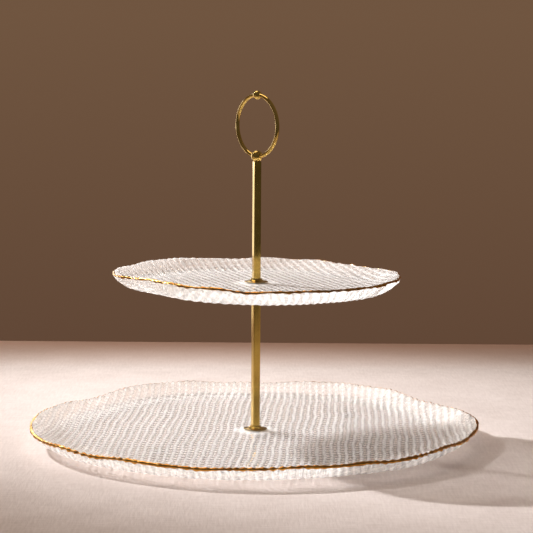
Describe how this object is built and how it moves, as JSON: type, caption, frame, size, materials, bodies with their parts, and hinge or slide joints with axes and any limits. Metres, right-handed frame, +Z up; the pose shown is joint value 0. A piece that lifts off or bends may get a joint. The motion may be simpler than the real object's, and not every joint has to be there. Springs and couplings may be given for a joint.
{
  "type": "tiered cake stand",
  "caption": "Cake stand of two wavy-edged textured glass plates with gilded rims on a square brass post, topped by a ring handle that unscrews.",
  "frame": {"origin": "on the table under the middle of the post, which is the middle of the lower plate", "axes": "+Z up along the post; +X to the viewer's right and -Y towards the viewer when the ring handle's plane is turned 49 degrees from the viewer's"},
  "size_m": [0.3201, 0.3162, 0.25],
  "materials": {
    "glass": "clear pressed glass with a woven relief",
    "gilding": "fired-on gold lustre, bright",
    "brass": "brushed and lacquered",
    "steel": "zinc plated",
    "silicone": "clear satin"
  },
  "bodies": {
    "base": {"lower_plate": "glass", "lower_gold_edge": "gilding", "foot_1": "silicone", "foot_2": "silicone", "foot_3": "silicone", "foot_4": "silicone", "base_screw": "brass", "base_steel_washer": "steel", "base_silicone_washer": "silicone", "lower_silicone_washer": "silicone"},
    "lower_rosette": {"lower_flange": "brass"},
    "column": {"lower_post": "brass", "joining_stud": "steel", "support_flange": "brass", "support_silicone_washer": "silicone"},
    "top_tier": {"upper_plate": "glass", "upper_gold_edge": "gilding", "upper_silicone_washer": "silicone"},
    "upper_rosette": {"upper_flange": "brass"},
    "handle": {"upper_post": "brass", "handle_ball": "brass", "handle_ring": "brass", "handle_bead": "brass"}
  },
  "joints": [
    {"name": "lower_post_turn", "type": "hinge", "parent": "base", "child": "lower_rosette", "pos_m": [0, 0, 0.0084], "axis": [0, 0, 1], "range_deg": [0, 4320]},
    {"name": "lower_post_rise", "type": "slide", "parent": "lower_rosette", "child": "column", "axis": [0, 0, 1], "range_m": [0, 0.006]},
    {"name": "upper_plate_swivel", "type": "hinge", "parent": "column", "child": "top_tier", "pos_m": [0, 0, 0.1096], "axis": [0, 0, 1], "continuous": true},
    {"name": "upper_post_turn", "type": "hinge", "parent": "column", "child": "upper_rosette", "pos_m": [0, 0, 0.1146], "axis": [0, 0, 1], "range_deg": [0, 4320]},
    {"name": "upper_post_rise", "type": "slide", "parent": "upper_rosette", "child": "handle", "axis": [0, 0, 1], "range_m": [0, 0.006]}
  ],
  "couplings": [
    {"joint": "lower_post_turn", "follows": "lower_post_rise", "rad_per_m": 12566},
    {"joint": "upper_post_turn", "follows": "upper_post_rise", "rad_per_m": 12566}
  ]
}
